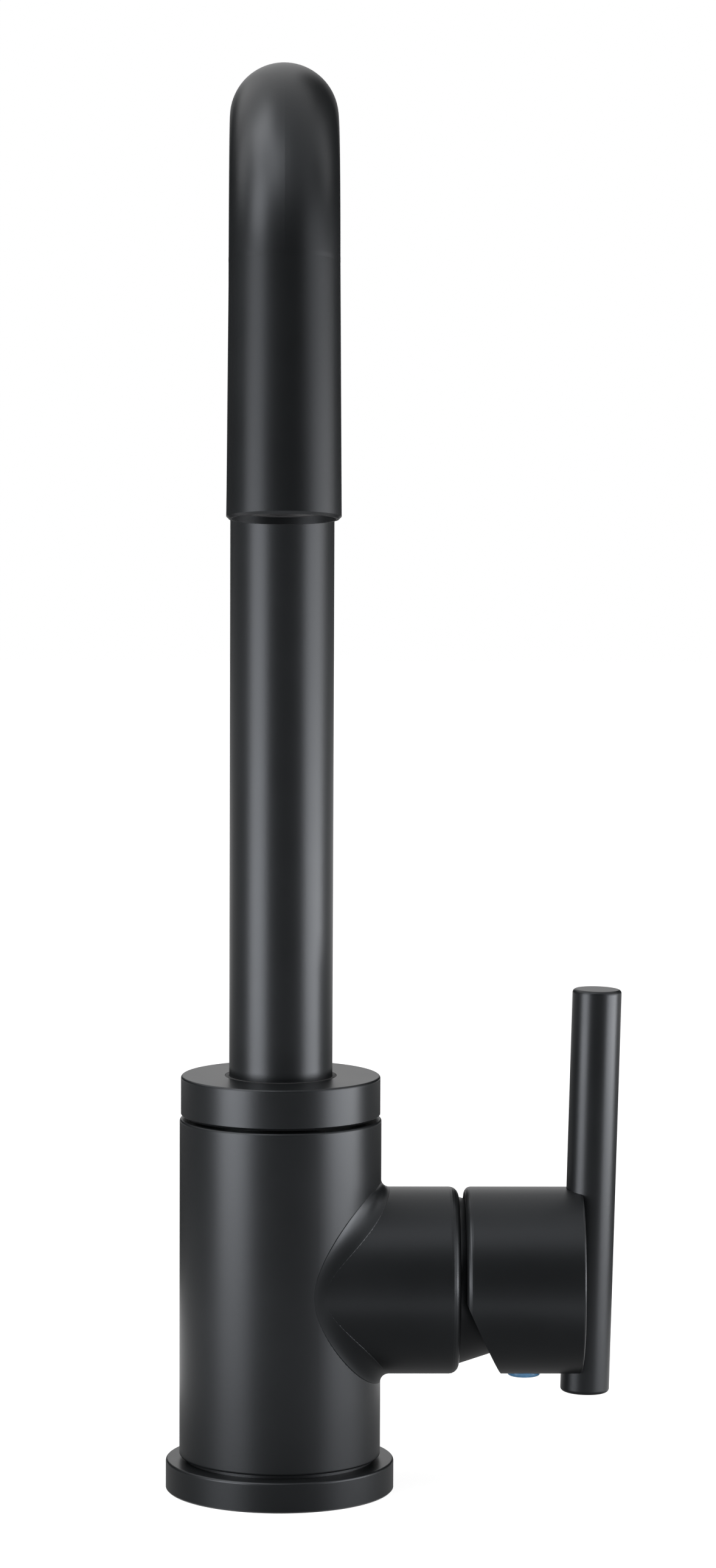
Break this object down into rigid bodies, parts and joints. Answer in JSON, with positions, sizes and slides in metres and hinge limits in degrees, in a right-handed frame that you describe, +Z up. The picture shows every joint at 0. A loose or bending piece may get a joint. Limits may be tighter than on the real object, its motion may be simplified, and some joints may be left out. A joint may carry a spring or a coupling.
{
  "type": "single-lever kitchen faucet",
  "caption": "Matt black kitchen faucet with a swivelling gooseneck spout and a side lever that tilts for flow and turns for temperature.",
  "frame": {"origin": "centre of the base flange's underside, on the deck", "axes": "+Z up along the riser, +X along the side hub towards the lever, -Y towards the spout's outlet at rest"},
  "size_m": [0.112, 0.1269, 0.3477],
  "materials": {
    "matt_black": "satin powder coat over brass and steel",
    "brass": "turned",
    "steel": "turned stainless",
    "acetal": "moulded",
    "rubber": "moulded",
    "ceramic": "lapped",
    "index": "moulded, blue in front and red behind"
  },
  "bodies": {
    "valve": {"base_flange": "matt_black", "base_gasket": "rubber", "valve_body": "matt_black", "collar": "matt_black", "wiper_seal": "rubber", "upper_glide_ring": "acetal", "lower_glide_ring": "acetal", "cartridge_base": "acetal", "port_seals": "rubber", "disc_seals": "rubber", "fixed_disc": "ceramic", "cartridge_housing": "acetal", "cartridge_nut": "brass", "bonnet": "matt_black", "bonnet_seal": "rubber"},
    "spout": {"spout_tube": "matt_black", "spout_shank": "brass", "shank_seals": "rubber", "aerator_housing": "acetal", "aerator_core": "steel", "aerator_screen": "steel", "aerator_gasket": "rubber"},
    "carrier": {"stem_carrier": "acetal", "pivot_pin": "steel"},
    "disc": {"moving_disc": "ceramic", "disc_holder": "acetal"},
    "lever": {"valve_stem": "brass", "lever_hub": "matt_black", "lever_rod": "matt_black", "lever_screw": "steel", "set_screw": "steel", "index_plug": "index"}
  },
  "joints": [
    {"name": "spout_swivel", "type": "hinge", "parent": "valve", "child": "spout", "pos_m": [0, 0, 0.0884], "axis": [0, 0, 1], "continuous": true},
    {"name": "lever_turn", "type": "hinge", "parent": "valve", "child": "carrier", "pos_m": [0.043, 0, 0.052], "axis": [1, 0, 0], "range_deg": [-50, 50]},
    {"name": "lever_lift", "type": "hinge", "parent": "carrier", "child": "lever", "pos_m": [0.043, 0, 0.052], "axis": [0, 1, 0], "range_deg": [0, 20]},
    {"name": "disc_slide", "type": "slide", "parent": "carrier", "child": "disc", "axis": [0, 0, 1], "range_m": [0, 0.0036]}
  ],
  "couplings": [
    {"joint": "disc_slide", "follows": "lever_lift", "m_per_rad": 0.01016}
  ]
}
